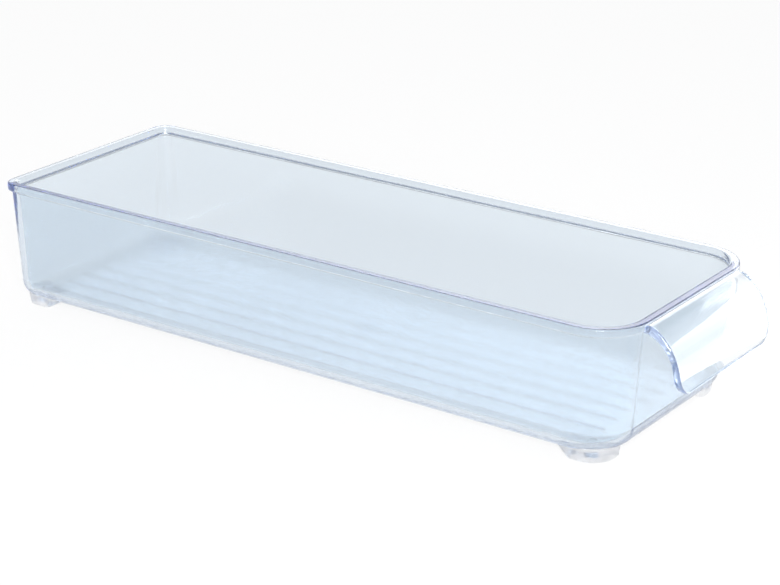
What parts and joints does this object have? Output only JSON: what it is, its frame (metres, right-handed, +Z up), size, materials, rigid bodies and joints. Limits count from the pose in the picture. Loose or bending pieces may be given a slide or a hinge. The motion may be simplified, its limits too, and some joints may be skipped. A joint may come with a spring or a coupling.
{
  "type": "fridge storage tray",
  "caption": "Long clear pull-out storage tray with a ribbed floor, rolled rim, curved finger lip at the front and cap feet.",
  "frame": {"origin": "centre of the overall box on the plane the feet rest on", "axes": "+X to the right seen from the front, +Y from the finger lip to the back wall, +Z up"},
  "size_m": [0.13, 0.3919, 0.0686],
  "materials": {
    "clear_tray": "gloss",
    "clear_lip": "gloss",
    "clear_cap": "satin"
  },
  "bodies": {
    "root": {"tray": "clear_tray", "pull_handle": "clear_lip", "foot_front_left": "clear_cap", "foot_front_right": "clear_cap", "foot_back_left": "clear_cap", "foot_back_right": "clear_cap"}
  },
  "joints": []
}
